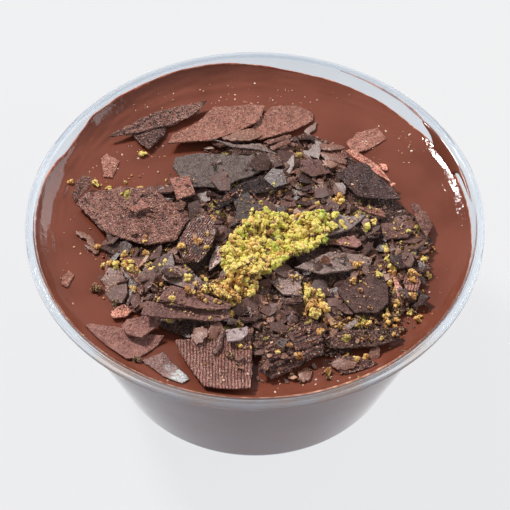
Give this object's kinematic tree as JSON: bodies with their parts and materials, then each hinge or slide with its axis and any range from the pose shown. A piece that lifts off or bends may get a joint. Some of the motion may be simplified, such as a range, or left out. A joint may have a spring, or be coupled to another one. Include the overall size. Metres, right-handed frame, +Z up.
{
  "type": "cup of chocolate profiterole dessert with pistachio",
  "caption": "Clear plastic dessert cup filled nearly to its lip with glossy chocolate cream, topped with a low heap of chocolate shavings and chopped pistachio.",
  "frame": {"origin": "centre of the cup's base, on the surface it stands on", "axes": "+Z up along the cup's axis, +X to the viewer's right, +Y away from the viewer"},
  "size_m": [0.117, 0.117, 0.0566],
  "materials": {
    "clear_plastic": "clear, thin and glossy",
    "chocolate_cream": "smooth glossy chocolate cream",
    "pale_chocolate": "matte, scraped milk-brown face",
    "brown_chocolate": "matte, scraped brown face",
    "grey_chocolate": "smooth face with a grey sheen",
    "dark_chocolate": "dark, broken and crumbly",
    "pistachio": "matte, chopped yellow-green nut"
  },
  "bodies": {
    "root": {"cup": "clear_plastic", "chocolate_cream": "chocolate_cream", "shaving_heap": "dark_chocolate", "chip_on_cream_left": "pale_chocolate", "chip_on_cream_back_left": "pale_chocolate", "chip_left_round": "brown_chocolate", "chip_left_long": "brown_chocolate", "chip_on_cream_right": "pale_chocolate", "shaving_front_left": "brown_chocolate", "shaving_front_glossy": "grey_chocolate", "shaving_front_ridged": "brown_chocolate", "shaving_back_shard": "dark_chocolate", "shaving_left_curl": "brown_chocolate", "shaving_left_broad": "brown_chocolate", "shaving_right_pale": "pale_chocolate", "shaving_back_twist": "brown_chocolate", "shaving_right_sliver": "pale_chocolate", "shaving_right_speckled": "dark_chocolate", "shaving_right_edge": "brown_chocolate", "shaving_right_brown": "brown_chocolate", "shaving_lower_right_smooth": "brown_chocolate", "shaving_lower_right_ridged": "grey_chocolate", "shaving_lower_right_sliver": "brown_chocolate", "shaving_front_right_low": "brown_chocolate", "shaving_front_right": "dark_chocolate", "curl_front_striped": "dark_chocolate", "chip_on_curl": "grey_chocolate", "shaving_front_patch": "grey_chocolate", "shaving_back_thin": "grey_chocolate", "shaving_centre_grey": "grey_chocolate", "shaving_back_right_pale": "pale_chocolate", "shaving_back_left_pale": "pale_chocolate", "curl_back": "grey_chocolate", "shaving_back_middle": "brown_chocolate", "shaving_left_square": "brown_chocolate", "chip_left_dark": "grey_chocolate", "shaving_left_tip": "pale_chocolate", "shaving_left_low": "brown_chocolate", "shaving_left_strip_low": "grey_chocolate", "shaving_left_strip_high": "grey_chocolate", "shaving_left_grey": "grey_chocolate", "shard_centre_bright": "grey_chocolate", "shaving_left_speckled": "dark_chocolate", "shaving_centre_dark": "dark_chocolate", "shaving_centre_shard": "grey_chocolate", "shaving_right_ridged": "dark_chocolate", "shaving_right_strip": "brown_chocolate", "shaving_middle_brown": "brown_chocolate", "shaving_middle_light": "grey_chocolate", "shaving_middle_lobe": "grey_chocolate", "shaving_middle_long": "grey_chocolate", "pistachio_mound": "pistachio", "pistachio_spill": "pistachio", "pistachio_front": "pistachio"}
  },
  "joints": []
}
